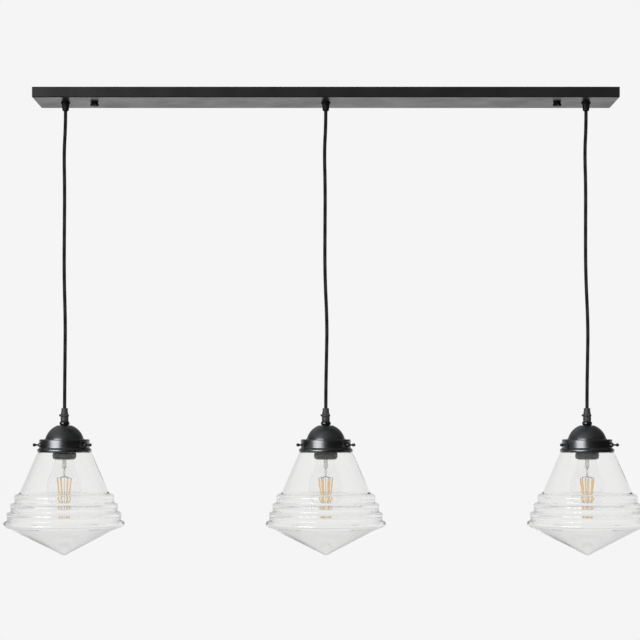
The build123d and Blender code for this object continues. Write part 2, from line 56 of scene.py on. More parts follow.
# the camera stands where the photograph was taken
camera = {"x": -0.010, "y": -3.065, "z": -0.573, "tiltUp": 1.3, "lens": 100.07, "shiftUp": 0.0991}
cameraData = bpy.data.cameras.new("camera")
cameraData.sensor_width = 36
cameraData.lens = camera["lens"]
cameraData.shift_y = camera["shiftUp"]
cameraObject = bpy.data.objects.new("camera", cameraData)
scene.collection.objects.link(cameraObject)
cameraObject.location = (camera["x"], camera["y"], camera["z"])
cameraObject.rotation_euler = (math.radians(90 + camera["tiltUp"]), 0, 0)
scene.camera = cameraObject


# materials: a small kit for wiring nodes, then one function per finish
def newMaterial(name, **sockets):
    material = bpy.data.materials.new(name)
    material.use_nodes = True
    shader = material.node_tree.nodes["Principled BSDF"]
    for socket, value in sockets.items():
        shader.inputs[socket.replace("_", " ")].default_value = value
    return material, material.node_tree, shader


def addNode(tree, kind, values=None, **settings):
    node = tree.nodes.new(kind)
    for setting, value in settings.items():
        setattr(node, setting, value)
    for socket, value in (values or {}).items():
        node.inputs[socket].default_value = value
    return node


def objectNoise(tree, size, detail=4, roughness=0.55, stretch=(1, 1, 1)):
    # noise in object space; size is the grain in millimetres
    coordinates = addNode(tree, "ShaderNodeTexCoord")
    mapping = addNode(tree, "ShaderNodeMapping", {"Scale": stretch})
    grain = {"Scale": 1000 / size, "Detail": detail, "Roughness": roughness}
    noise = addNode(tree, "ShaderNodeTexNoise", grain)
    tree.links.new(coordinates.outputs["Object"], mapping.inputs["Vector"])
    tree.links.new(mapping.outputs["Vector"], noise.inputs["Vector"])
    return noise


def spread(tree, source, low, high, start=0.3, end=0.7, smooth=False):
    # brings a value that runs from start to end into the range from low to high
    span = addNode(tree, "ShaderNodeMapRange", {1: start, 2: end, 3: low, 4: high})
    if smooth:
        span.interpolation_type = "SMOOTHSTEP"
    tree.links.new(source, span.inputs["Value"])
    return span.outputs["Result"]


def reckon(tree, operation, *terms):
    # a maths node on numbers and on other nodes' outputs
    node = addNode(tree, "ShaderNodeMath", operation=operation)
    for socket, term in zip(node.inputs, terms):
        if isinstance(term, (int, float)):
            socket.default_value = term
        else:
            tree.links.new(term, socket)
    return node.outputs[0]


def mixShaders(tree, share, first, second):
    mix = addNode(tree, "ShaderNodeMixShader")
    for socket, source in zip(mix.inputs, (share, first, second)):
        tree.links.new(source, socket)
    return mix.outputs[0]


def colourFrom(tree, shader, source, finish):
    # the base colour runs from the finish's dark to its light
    ramp = addNode(tree, "ShaderNodeValToRGB")
    ramp.color_ramp.elements[0].position = 0.3
    ramp.color_ramp.elements[1].position = 0.7
    ramp.color_ramp.elements[0].color = (*finish["dark"], 1)
    ramp.color_ramp.elements[1].color = (*finish["light"], 1)
    tree.links.new(source, ramp.inputs["Fac"])
    tree.links.new(ramp.outputs["Color"], shader.inputs["Base Color"])


def roughnessFrom(tree, shader, source, finish):
    tree.links.new(spread(tree, source, *finish["rough"]), shader.inputs["Roughness"])


def bumpFrom(tree, shader, height, strength, distance):
    bump = addNode(tree, "ShaderNodeBump", {"Strength": strength, "Distance": distance * mm})
    tree.links.new(height, bump.inputs["Height"])
    tree.links.new(bump.outputs["Normal"], shader.inputs["Normal"])


def coatedMetal(name, finish):
    # lacquer or powder coat: fine orange peel, cloudy gloss, a trace of dust in the colour
    material, tree, shader = newMaterial(
        name,
        Metallic=finish.get("metal", 0.0),
        Specular_IOR_Level=finish.get("specular", 0.5),
        Coat_Weight=finish.get("coat", 0.0),
        Coat_Roughness=finish.get("coatRoughness", 0.1),
    )
    peel = objectNoise(tree, finish["peel"], detail=2).outputs["Fac"]
    cloud = objectNoise(tree, finish.get("cloud", 30), detail=5).outputs["Fac"]
    colourFrom(tree, shader, cloud, finish)
    roughnessFrom(tree, shader, cloud, finish)
    bumpFrom(tree, shader, peel, finish["bump"], finish.get("height", 0.05))
    return material


def bareMetal(name, finish):
    # brass, zinc or aluminium with fine drawn lines along one axis
    material, tree, shader = newMaterial(name, Metallic=1.0)
    along = finish.get("stretch", (1, 1, 0.08))
    drawnLines = objectNoise(tree, 0.6, detail=3, stretch=along).outputs["Fac"]
    cloud = objectNoise(tree, finish["cloud"], detail=5, roughness=0.65).outputs["Fac"]
    colourFrom(tree, shader, cloud, finish)
    roughnessFrom(tree, shader, cloud, finish)
    bumpFrom(tree, shader, drawnLines, finish["bump"], 0.02)
    return material


def mouldedPlastic(name, finish):
    material, tree, shader = newMaterial(
        name,
        Specular_IOR_Level=finish.get("specular", 0.5),
        Emission_Color=(*finish["light"], 1),
        # the emission in the finish's light colour is a painted glow, for parts not lit from within
        Emission_Strength=finish.get("paintedGlow", 0.0),
    )
    grain = objectNoise(tree, finish.get("grain", 0.5), detail=3).outputs["Fac"]
    cloud = objectNoise(tree, 14, detail=4).outputs["Fac"]
    colourFrom(tree, shader, cloud, finish)
    roughnessFrom(tree, shader, grain, finish)
    bumpFrom(tree, shader, grain, finish["bump"], 0.03)
    return material


glassIndex = 1.5


def clearGlass(name, finish):
    # pressed or blown glass: slow waves in the surface, and a tint that deepens slightly in places
    material, tree, shader = newMaterial(name, IOR=glassIndex, Transmission_Weight=1.0, Roughness=0.0)
    along = (1, 1, finish.get("flow", 1.0))
    wave = objectNoise(tree, finish["wave"], detail=1, stretch=along).outputs["Fac"]
    cloud = objectNoise(tree, finish.get("cloud", 60), detail=3).outputs["Fac"]
    colourFrom(tree, shader, cloud, finish)
    bumpFrom(tree, shader, wave, finish["bump"], finish.get("height", 0.2))
    return material


def milkGlass(name, finish):
    # the pressed mount of the bulb: glass that scatters some of the light in its bulk
    material, tree, shader = newMaterial(
        name, IOR=glassIndex, Transmission_Weight=finish["share"], Roughness=0.12,
    )
    cloud = objectNoise(tree, 6, detail=3).outputs["Fac"]
    streak = objectNoise(tree, 3, detail=2, stretch=(1, 1, 0.15)).outputs["Fac"]
    colourFrom(tree, shader, cloud, finish)
    bumpFrom(tree, shader, streak, 0.2, 0.1)
    return material


def braidedTextile(name, finish):
    # a round braid on the cord's own UV: one axis runs round it and the other along it
    material, tree, shader = newMaterial(
        name, Roughness=0.9, Specular_IOR_Level=0.25, Sheen_Weight=0.12, Sheen_Roughness=0.4,
    )
    coordinates = addNode(tree, "ShaderNodeTexCoord")
    split = addNode(tree, "ShaderNodeSeparateXYZ")
    tree.links.new(coordinates.outputs["UV"], split.inputs["Vector"])
    around = reckon(tree, "MULTIPLY", split.outputs[finish["aroundAxis"]], finish["threads"])
    along = reckon(tree, "MULTIPLY", split.outputs[finish["alongAxis"]], finish["picks"])
    strands = []
    for direction in ("ADD", "SUBTRACT"):
        turns = reckon(tree, "MULTIPLY", reckon(tree, direction, around, along), 2 * math.pi)
        strands.append(reckon(tree, "SINE", turns))
    weave = reckon(tree, "MULTIPLY", *strands)
    fuzz = objectNoise(tree, 0.35, detail=5, roughness=0.7).outputs["Fac"]
    height = reckon(tree, "MULTIPLY_ADD", fuzz, 0.5, weave)
    # the colour follows the weave's height: the hollows between strands are painted shade, darker than the
    # raised strands, and the fuzz adds random tone
    colourFrom(tree, shader, spread(tree, height, 0, 1, -1, 1.4), finish)
    bumpFrom(tree, shader, height, 0.6, 0.25)
    return material


print("materials")
finishes = {
    "tray": coatedMetal("trayPowderCoat", {
        "dark": (0.0085, 0.0085, 0.009), "light": (0.0125, 0.0125, 0.0125),
        "rough": (0.27, 0.36), "peel": 1.1, "bump": 0.12, "specular": 0.31, "cloud": 60,
    }),
    "cap": coatedMetal("capSatinBlack", {
        "dark": (0.145, 0.148, 0.155), "light": (0.175, 0.178, 0.185), "metal": 1.0,
        "rough": (0.29, 0.35), "peel": 0.8, "bump": 0.08, "cloud": 22,
    }),
    "collar": coatedMetal("collarGlossBlack", {
        "dark": (0.004, 0.004, 0.004), "light": (0.006, 0.006, 0.006),
        "rough": (0.10, 0.15), "peel": 1.5, "bump": 0.05, "coat": 0.8, "coatRoughness": 0.05,
    }),
    "clamp": coatedMetal("clampCrinkleGrey", {
        "dark": (0.018, 0.019, 0.019), "light": (0.050, 0.051, 0.052),
        "rough": (0.40, 0.60), "peel": 0.7, "bump": 0.6, "height": 0.12, "cloud": 1.6,
    }),
    "thumbScrew": coatedMetal("thumbScrewBlack", {
        "dark": (0.010, 0.010, 0.010), "light": (0.018, 0.018, 0.019),
        "rough": (0.24, 0.34), "peel": 0.8, "bump": 0.1, "cloud": 5,
    }),
    "nuts": coatedMetal("thumbNutBlack", {
        "dark": (0.005, 0.005, 0.005), "light": (0.009, 0.009, 0.009),
        "rough": (0.30, 0.42), "peel": 0.8, "bump": 0.1, "cloud": 6, "specular": 0.22,
    }),
    "bracket": bareMetal("bracketZinc", {
        "dark": (0.40, 0.41, 0.42), "light": (0.58, 0.58, 0.57),
        "rough": (0.34, 0.50), "bump": 0.15, "cloud": 12, "stretch": (0.06, 1, 1),
    }),
    "hardware": bareMetal("hardwareBrass", {
        "dark": (0.56, 0.40, 0.17), "light": (0.74, 0.56, 0.28),
        "rough": (0.24, 0.36), "bump": 0.1, "cloud": 5,
    }),
    "contacts": bareMetal("contactBrass", {
        "dark": (0.60, 0.44, 0.20), "light": (0.78, 0.60, 0.32),
        "rough": (0.20, 0.32), "bump": 0.08, "cloud": 4,
    }),
    "core": bareMetal("coreCopper", {
        "dark": (0.50, 0.21, 0.11), "light": (0.72, 0.36, 0.20),
        "rough": (0.25, 0.35), "bump": 0.1, "cloud": 3,
    }),
    "bulbCap": bareMetal("bulbCapTin", {
        "dark": (0.52, 0.53, 0.54), "light": (0.70, 0.70, 0.69),
        "rough": (0.22, 0.36), "bump": 0.08, "cloud": 5,
    }),
    "leadWire": bareMetal("leadWireDull", {
        "dark": (0.10, 0.09, 0.08), "light": (0.20, 0.18, 0.16),
        "rough": (0.35, 0.5), "bump": 0.05, "cloud": 3,
    }),
    "grips": mouldedPlastic("gripPlastic", {
        "dark": (0.004, 0.004, 0.004), "light": (0.008, 0.008, 0.008),
        "rough": (0.42, 0.56), "bump": 0.15, "specular": 0.22,
    }),
    "block": mouldedPlastic("blockPlastic", {
        "dark": (0.70, 0.68, 0.61), "light": (0.80, 0.78, 0.71),
        "rough": (0.35, 0.5), "bump": 0.1,
    }),
    "innerCord": mouldedPlastic("innerCordSheath", {
        "dark": (0.012, 0.012, 0.012), "light": (0.022, 0.022, 0.022),
        "rough": (0.45, 0.6), "bump": 0.2, "grain": 0.8,
    }),
    "lampholder": mouldedPlastic("lampholderBakelite", {
        "dark": (0.040, 0.042, 0.041), "light": (0.070, 0.072, 0.070),
        "rough": (0.30, 0.44), "bump": 0.12, "grain": 0.7,
    }),
    "cord": braidedTextile("cordBraid", {
        "dark": (0.004, 0.004, 0.004), "light": (0.018, 0.018, 0.019),
        "threads": 8, "picks": 260, "aroundAxis": "X", "alongAxis": "Y",
    }),
    "shade": clearGlass("shadeGlass", {
        "dark": (0.976, 0.978, 0.974), "light": (0.988, 0.988, 0.985),
        "wave": 80, "flow": 0.5, "bump": 0.08, "height": 0.4,
    }),
    "bulb": clearGlass("bulbGlass", {
        "dark": (0.985, 0.987, 0.985), "light": (0.995, 0.995, 0.994),
        "wave": 20, "bump": 0.06, "cloud": 30,
    }),
    "stem": milkGlass("stemGlass", {
        "dark": (0.92, 0.92, 0.90), "light": (0.98, 0.98, 0.96), "share": 0.7,
    }),
    # the filaments are unlit: their emission is a painted glow that brightens them behind the glass
    "filament": mouldedPlastic("filamentCoatingWithPaintedGlow", {
        "dark": (0.98, 0.56, 0.20), "light": (1.0, 0.72, 0.36),
        "rough": (0.35, 0.55), "bump": 0.2, "grain": 0.4, "paintedGlow": 0.3,
    }),
}

# the CAD nodes that stay as they are, with their finish
keptNodes = {
    "canopy_tray": "tray",
    "ceiling_bracket": "bracket",
    "grip_locknuts": "hardware",
    "inner_cords": "innerCord",
}
for side in lampX:
    keptNodes[f"{side}_cord_core"] = "core"
    keptNodes[f"{side}_nipple"] = "hardware"
    keptNodes[f"{side}_contacts"] = "contacts"
for node, finish in keptNodes.items():
    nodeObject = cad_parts[node]
    nodeObject.data.materials.clear()
    nodeObject.data.materials.append(finishes[finish])


# how a piece is shaped and finished: spun profiles, round bars, then its body and nodes
def finishPiece(mesh, name, finish, body, slotName, *nodes, sharp=38):
    piece = bpy.data.objects.new(name, mesh)
    scene.collection.objects.link(piece)
    mesh.materials.append(finishes[finish])
    mesh.shade_smooth()
    mesh.set_sharp_from_angle(angle=math.radians(sharp))
    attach(piece, body)
    if nodes:
        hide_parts(*nodes)
    return piece


rounding = {"segments": 6, "smallUpTo": 1.5, "smallSegments": 4, "support": 0.35, "longRun": 1.5}


def withSupports(corners, closed, support):
    # a point just past each rounding of a long straight run, which keeps the run's shading straight
    spots = []
    ends = corners[1:] + corners[:1] if closed else corners[1:]
    for here, after in zip(corners, ends):
        spots.append(here)
        first = support + (here[2] if len(here) > 2 else 0)
        last = support + (after[2] if len(after) > 2 else 0)
        span = math.dist(here[:2], after[:2])
        if support and span > first + last + rounding["longRun"]:
            for reach in (first, span - last):
                spots.append(tuple(a + (b - a) * reach / span for a, b in zip(here[:2], after[:2])))
    return spots if closed else spots + [corners[-1]]


def wire(bm, profile, closed, support=rounding["support"]):
    # a profile in the XZ plane: (radius, depth) or (radius, depth, rounding), rounded by vertex bevels
    corners = withSupports(profile, closed, support)
    points = [bm.verts.new((corner[0] * mm, 0, (-canopyHeight - corner[1]) * mm)) for corner in corners]
    for start, end in zip(points, points[1:]):
        bm.edges.new((start, end))
    if closed:
        bm.edges.new((points[-1], points[0]))
    for point, corner in zip(points, corners):
        if len(corner) > 2:
            small = corner[2] <= rounding["smallUpTo"]
            bmesh.ops.bevel(
                bm, geom=[point], offset=corner[2] * mm, offset_type="OFFSET",
                segments=rounding["smallSegments" if small else "segments"], profile=0.5,
                affect="VERTICES", material=-1,
            )


def spinWire(bm, steps):
    bmesh.ops.spin(
        bm, geom=bm.verts[:] + bm.edges[:], cent=(0, 0, 0), axis=(0, 0, 1), dvec=(0, 0, 0),
        angle=2 * math.pi, steps=steps, use_merge=True, use_duplicate=False,
    )
    bmesh.ops.remove_doubles(bm, verts=bm.verts, dist=1e-6)
    bmesh.ops.dissolve_degenerate(bm, edges=bm.edges, dist=1e-7)
    bmesh.ops.recalc_face_normals(bm, faces=bm.faces)


def meshFrom(bm, name):
    mesh = bpy.data.meshes.new(name)
    bm.to_mesh(mesh)
    bm.free()
    return mesh


def takeIn(bm, mesh):
    # a helper mesh becomes part of a piece
    bm.from_mesh(mesh)
    bpy.data.meshes.remove(mesh)


def spunMesh(name, corners, x, steps=96, closed=True, shape=None):
    bm = bmesh.new()
    wire(bm, corners, closed)
    spinWire(bm, steps)
    if shape:
        shape(bm)
    bmesh.ops.translate(bm, vec=(x * mm, 0, 0), verts=bm.verts)
    return meshFrom(bm, name)


def addRod(bm, start, end, radius, segments=12, endRadius=None):
    # a round bar between two points
    along = end - start
    turn = along.to_track_quat("Z", "Y").to_matrix().to_4x4()
    bmesh.ops.create_cone(
        bm, cap_ends=True, segments=segments, radius1=radius,
        radius2=radius if endRadius is None else endRadius, depth=along.length,
        matrix=Matrix.Translation((start + end) / 2) @ turn,
    )


print("cords")
cord = {
    "diameter": 6,
    "length": 531.3,
    "routes": {
        "left": [
            (0.0, 0.0, 12.0),
            (0.0, 0.0, 42.0),
            (-2.4, 0.4, 86.0),
            (-1.0, 0.3, 150.0),
            (-1.5, -0.5, 222.0),
            (-1.6, 0.2, 300.0),
            (0.9, 0.4, 378.0),
            (0.4, -0.4, 440.0),
            (0.0, 0.0, 502.0),
            (0.0, 0.0, 543.2),
        ],
        "centre": [
            (0.0, 0.0, 12.0),
            (0.0, 0.0, 40.0),
            (-2.5, -0.3, 84.0),
            (-0.9, -0.4, 150.0),
            (-1.4, 0.5, 220.0),
            (-1.7, 0.1, 296.0),
            (2.3, -0.4, 382.0),
            (1.2, 0.2, 440.0),
            (0.0, 0.0, 500.0),
            (0.0, 0.0, 543.2),
        ],
        "right": [
            (0.0, 0.0, 12.0),
            (0.0, 0.0, 41.0),
            (-2.5, 0.3, 85.0),
            (-0.9, 0.4, 148.0),
            (-1.5, -0.4, 221.0),
            (-1.6, 0.3, 298.0),
            (2.2, 0.3, 384.0),
            (1.3, -0.3, 442.0),
            (0.0, 0.0, 501.0),
            (0.0, 0.0, 543.2),
        ],
    },
}


def makeCord(side, x):
    route = [place(x + right, forward, depth) for right, forward, depth in cord["routes"][side]]
    curve = bpy.data.curves.new(f"{side}CordRoute", "CURVE")
    curve.dimensions = "3D"
    spline = curve.splines.new("NURBS")
    spline.points.add(len(route) - 1)
    for point, spot in zip(spline.points, route):
        point.co = (*spot, 1)
    spline.order_u = 3
    spline.use_endpoint_u = True
    spline.resolution_u = 16
    routeObject = bpy.data.objects.new(f"{side}CordRoute", curve)
    scene.collection.objects.link(routeObject)
    line = bpy.data.meshes.new_from_object(routeObject)
    bpy.data.meshes.remove(line)
    curve.bevel_depth = cord["diameter"] * mm / 2
    curve.bevel_resolution = 7
    curve.use_fill_caps = True
    bpy.context.view_layer.update()
    evaluated = routeObject.evaluated_get(bpy.context.evaluated_depsgraph_get())
    tube = bpy.data.meshes.new_from_object(evaluated)
    bpy.data.objects.remove(routeObject)
    tube.name = f"{side}Cord"
    tube.materials.clear()
    piece = finishPiece(tube, f"{side}Cord", "cord", f"{side}_lamp", "cord", f"{side}_cord", sharp=60)


for side, x in lampX.items():
    makeCord(side, x)


print("under the canopy")
grip = {
    "flutes": 12,
    "fluteDepth": 0.28,
    "fluteFrom": 3,
    "fluteTo": 12.5,
    "bore": 4.8,  # points nearer the axis than this stay round
    "profile": [
        (3.3, -5.0), (4.7, -5.0), (4.7, -2.0), (5.0, -1.7), (5.0, 0.0),
        (8.0, 0.0, 0.3), (8.0, 2.2, 0.5), (6.85, 2.2, 0.25), (6.7, 3.4), (6.35, 6.0), (6.0, 9.0),
        (5.6, 12.0), (5.3, 14.0, 0.5), (4.35, 14.0, 0.2), (3.5, 11.6), (3.3, 11.2),
    ],
}
thumbNut = {
    "studX": 400,
    "ridges": 36,
    "ridgeDepth": 0.28,
    "ridgeFrom": 1.9,
    "ridgeTo": 5.4,
    "core": 6.95,
    "profile": [
        (2.15, 0.0), (6.2, 0.0, 0.15), (6.2, 1.2, 0.2), (6.7, 1.2, 0.2), (7.2, 1.7, 0.2), (7.2, 2.0),
        (7.2, 5.3), (7.2, 5.7, 0.25), (6.7, 6.2, 0.3), (0.0, 6.2), (0.0, 5.3), (2.15, 5.3),
    ],
}


def groove(bm, core, start, end, insetAt):
    # draws the outer wall in between two depths, by an amount that changes round it
    for vertex in bm.verts:
        depth = -vertex.co.z / mm - canopyHeight
        radius = math.hypot(vertex.co.x, vertex.co.y) / mm
        if start < depth < end and radius > core:
            inset = insetAt(math.atan2(vertex.co.y, vertex.co.x)) / radius
            vertex.co.x *= 1 - inset
            vertex.co.y *= 1 - inset


def fluteGrip(bm):
    groove(
        bm, grip["bore"], grip["fluteFrom"], grip["fluteTo"],
        lambda angle: grip["fluteDepth"] * max(0, math.cos(grip["flutes"] * angle)),
    )


def knurlNut(bm):
    groove(
        bm, thumbNut["core"], thumbNut["ridgeFrom"], thumbNut["ridgeTo"],
        lambda angle: thumbNut["ridgeDepth"] * (0.5 - 0.5 * math.cos(thumbNut["ridges"] * angle)),
    )


def makeGrips():
    bm = bmesh.new()
    for x in lampX.values():
        takeIn(bm, spunMesh("grip", grip["profile"], x, steps=96, shape=fluteGrip))
    finishPiece(meshFrom(bm, "cordGrips"), "cordGrips", "grips", "canopy", "grips", "cord_grips")


def makeThumbNut(side, x):
    mesh = spunMesh(f"thumbNut_{side}", thumbNut["profile"], x, steps=144, shape=knurlNut)
    node = f"thumb_nut_{side}"
    finishPiece(mesh, f"thumbNut_{side}", "nuts", node, "nuts", node, sharp=30)


makeGrips()
makeThumbNut("left", -thumbNut["studX"])
makeThumbNut("right", thumbNut["studX"])


print("inside the canopy")
terminal = {
    "x": 62,
    "y": 32,
    "sheet": 1.5,  # the tray's floor, which the block stands on
    "length": 34,
    "width": 27,
    "height": 11,
    "base": 4.0,
    "pitch": 8,
    "wayWidth": 6.6,
    "wayShorter": 1,
    "rounding": 0.7,
    "screw": 1.8,
    "headHeight": 0.9,
    "slot": 0.55,
    "slotDepth": 0.45,
}


def addBlock(bm, length, width, height, centre):
    block = bmesh.ops.create_cube(bm, size=1)["verts"]
    bmesh.ops.scale(bm, vec=Vector((length, width, height)) * mm, verts=block)
    bmesh.ops.translate(bm, vec=Vector(centre) * mm, verts=block)


def screwHead(spot):
    # a round head with a slot pressed into its top
    bm = bmesh.new()
    bmesh.ops.create_cone(
        bm, cap_ends=True, segments=32, radius1=terminal["screw"] * mm, radius2=terminal["screw"] * mm,
        depth=terminal["headHeight"] * mm,
    )
    for offset in (-terminal["slot"], terminal["slot"]):
        everything = bm.verts[:] + bm.edges[:] + bm.faces[:]
        bmesh.ops.bisect_plane(bm, geom=everything, plane_co=(offset * mm, 0, 0), plane_no=(1, 0, 0))
    slotFaces = [
        face for face in bm.faces
        if face.normal.z > 0.9 and abs(face.calc_center_median().x) < terminal["slot"] * mm * 0.9
    ]
    bmesh.ops.inset_region(bm, faces=slotFaces, thickness=0, depth=-terminal["slotDepth"] * mm)
    bmesh.ops.translate(bm, vec=Vector(spot) * mm, verts=bm.verts)
    return meshFrom(bm, "screwHead")


def makeTerminals():
    floor = terminal["sheet"] - canopyHeight
    base = terminal["base"]
    height = terminal["height"]
    wayLength = terminal["length"] - terminal["wayShorter"]
    bm = bmesh.new()
    addBlock(bm, terminal["length"], terminal["width"], base, (0, 0, floor + base / 2))
    for row in (-1, 0, 1):
        centre = (0, row * terminal["pitch"], floor + height / 2)
        addBlock(bm, wayLength, terminal["wayWidth"], height, centre)
    bmesh.ops.bevel(
        bm, geom=bm.edges[:], offset=terminal["rounding"] * mm, offset_type="OFFSET", segments=3,
        profile=0.5, affect="EDGES", material=-1,
    )
    bmesh.ops.translate(bm, vec=Vector((terminal["x"], terminal["y"], 0)) * mm, verts=bm.verts)
    mesh = meshFrom(bm, "terminalBlock")
    finishPiece(mesh, "terminalBlock", "block", "canopy", "block", "terminal_block")

    bm = bmesh.new()
    for column in (-0.25, 0.25):
        for row in (-1, 0, 1):
            takeIn(bm, screwHead((
                terminal["x"] + column * terminal["length"],
                terminal["y"] + row * terminal["pitch"],
                floor + height + terminal["headHeight"] / 2,
            )))
    mesh = meshFrom(bm, "terminalScrews")
    finishPiece(mesh, "terminalScrews", "hardware", "canopy", "hardware", "terminal_screws")


makeTerminals()


print("lamp heads")
clamp = {
    "profile": [
        (3.3, 528.0), (5.4, 528.0, 0.5), (5.7, 531.0, 0.4), (5.45, 532.4), (5.45, 533.2),
        (5.9, 533.8), (6.4, 538.2, 0.3), (7.7, 539.4, 0.9), (7.7, 541.6, 0.9), (6.9, 542.6, 0.25),
        (6.6, 543.6, 0.25), (6.9, 544.4, 0.25), (6.9, 550.0, 0.4), (6.5, 550.8), (5.05, 550.8),
        (5.05, 544.6), (2.4, 544.6), (2.4, 543.2), (3.3, 543.2),
    ],
    "screwDepth": 540.4,
    "screwStart": 3.6,
    "screwReach": 9.1,
    "headRadius": 2.1,
    "headHeight": 1.4,
    "headTaper": 0.8,
    "shankShare": 0.75,
}
collar = {
    "profile": [
        (5.1, 550.8), (6.7, 550.8, 0.1), (8.2, 551.7, 0.6), (8.8, 553.1, 0.9), (8.8, 555.4, 0.9),
        (8.2, 556.8, 0.6), (6.7, 557.7, 0.1), (5.1, 557.7),
    ],
}
dome = {
    "radius": 34.0,
    "centre": 589.573,
    "top": 557.7,
    "foot": 581.8,
    "rimRadius": 33.9,
    "rimHeight": 1.2,
    "sheet": 1.2,
    "hole": 5.1,
    "rows": 22,
}
gallery = {
    "profile": [
        (17.0, 581.8), (43.0, 581.8, 2.0), (43.0, 596.6, 1.0), (44.0, 597.7, 0.5), (45.4, 597.8, 0.8),
        (46.4, 599.6, 1.4), (46.4, 601.4, 1.4), (45.9, 603.8, 0.5), (45.3, 603.8, 0.3),
        (44.4, 601.4, 1.0), (41.8, 597.6, 1.0), (41.8, 583.0, 1.2), (17.0, 583.0),
    ],
    "screwLevel": 591.1,
    "bossRadius": 4.0,
    "bossStart": 42.2,
    "bossShoulder": 45.6,
    "bossEnd": 47.7,
    "bossEndRadius": 2.6,
}
thumbScrew = {
    "angles": {"rear": 90, "left": 210, "right": 330},
    "tip": 37.9,
    "knobStart": 52.4,
    "reach": 57.6,
    "shank": 1.5,
    "pitch": 0.5,
    "threadDepth": 0.22,
    "neckRadius": 2.1,
    "knobRadius": 2.8,
}


def makeClamp(side, x):
    bm = bmesh.new()
    takeIn(bm, spunMesh(f"{side}Clamp", clamp["profile"], x, steps=96))
    leftward = Vector((-mm, 0, 0))
    axisPoint = place(x, 0, clamp["screwDepth"])
    outer = axisPoint + leftward * clamp["screwReach"]
    headStart = outer - leftward * clamp["headHeight"]
    headRadius = clamp["headRadius"] * mm
    addRod(bm, axisPoint + leftward * clamp["screwStart"], outer, headRadius * clamp["shankShare"], 24)
    addRod(bm, headStart, outer, headRadius, 24, headRadius * clamp["headTaper"])
    mesh = meshFrom(bm, f"{side}Clamp")
    finishPiece(mesh, f"{side}Clamp", "clamp", f"{side}_lamp", "clamp", f"{side}_cord_clamp")


def domeArc(radius, start, end):
    # points on a circle round the dome's centre, from one depth to another
    first = math.asin((dome["centre"] - start) / radius)
    last = math.asin((dome["centre"] - end) / radius)
    points = []
    for row in range(dome["rows"] + 1):
        turn = first + (last - first) * row / dome["rows"]
        points.append((radius * math.cos(turn), dome["centre"] - radius * math.sin(turn)))
    return points


def makeDome(side, x):
    # the sheet's outer face runs down to an upright rim, and its inner face back up to the hole
    rimTop = dome["foot"] - dome["rimHeight"]
    innerTop = dome["top"] + dome["sheet"]
    profile = [
        *domeArc(dome["radius"], dome["top"], rimTop),
        (dome["rimRadius"], rimTop, 0.2),
        (dome["rimRadius"], dome["foot"]),
        *domeArc(dome["radius"] - dome["sheet"], dome["foot"], innerTop),
        (dome["hole"], innerTop),
        (dome["hole"], dome["top"]),
    ]
    mesh = spunMesh(f"{side}Dome", profile, x, steps=128)
    finishPiece(mesh, f"{side}Dome", "cap", f"{side}_lamp", "cap", f"{side}_dome")


def makeGallery(side, x):
    bm = bmesh.new()
    takeIn(bm, spunMesh(f"{side}Gallery", gallery["profile"], x, steps=128))
    axisPoint = place(x, 0, gallery["screwLevel"])
    bossRadius = gallery["bossRadius"] * mm
    for angle in thumbScrew["angles"].values():
        outward = Vector((math.cos(math.radians(angle)), math.sin(math.radians(angle)), 0)) * mm
        shoulder = axisPoint + outward * gallery["bossShoulder"]
        addRod(bm, axisPoint + outward * gallery["bossStart"], shoulder, bossRadius, 32)
        bossEnd = axisPoint + outward * gallery["bossEnd"]
        addRod(bm, shoulder, bossEnd, bossRadius, 32, gallery["bossEndRadius"] * mm)
    mesh = meshFrom(bm, f"{side}Gallery")
    finishPiece(mesh, f"{side}Gallery", "cap", f"{side}_lamp", "cap", f"{side}_gallery")


def thumbScrewProfile():
    # from the tip out to the knob's end: a threaded shank, a plain neck and the knob
    start = thumbScrew["knobStart"]
    reach = thumbScrew["reach"]
    tip = thumbScrew["tip"]
    shank = thumbScrew["shank"]
    pitch = thumbScrew["pitch"]
    neck = thumbScrew["neckRadius"]
    knob = thumbScrew["knobRadius"]
    profile = [(0.0, tip), (shank - 0.4, tip), (shank, tip + 0.5)]
    level = tip + 0.9
    while level < start - 3.2:
        profile += [(shank, level), (shank - thumbScrew["threadDepth"], level + pitch / 2)]
        level += pitch
    return profile + [
        (shank, start - 2.4), (shank, start - 0.2), (neck, start, 0.3), (knob, start + 1.2, 0.7),
        (knob, reach - 1.8, 0.8), (neck, reach - 0.3, 0.5), (0.0, reach),
    ]


def makeThumbScrew(side, x, name, angle):
    # spun about Z with its tip up, then laid down and turned to its angle
    bm = bmesh.new()
    profile = [(radius, along - canopyHeight, *rest) for radius, along, *rest in thumbScrewProfile()]
    wire(bm, profile, closed=False)
    spinWire(bm, 48)
    turn = Matrix.Rotation(math.radians(angle), 4, "Z") @ Matrix.Rotation(math.radians(-90), 4, "Y")
    seat = Matrix.Translation(place(x, 0, gallery["screwLevel"]))
    bmesh.ops.transform(bm, matrix=seat @ turn, verts=bm.verts)
    mesh = meshFrom(bm, f"{side}ThumbScrew_{name}")
    node = f"{side}_thumb_screw_{name}"
    body = f"{side}_screw_{name}"
    finishPiece(mesh, f"{side}ThumbScrew_{name}", "thumbScrew", body, "thumb_screw", node)


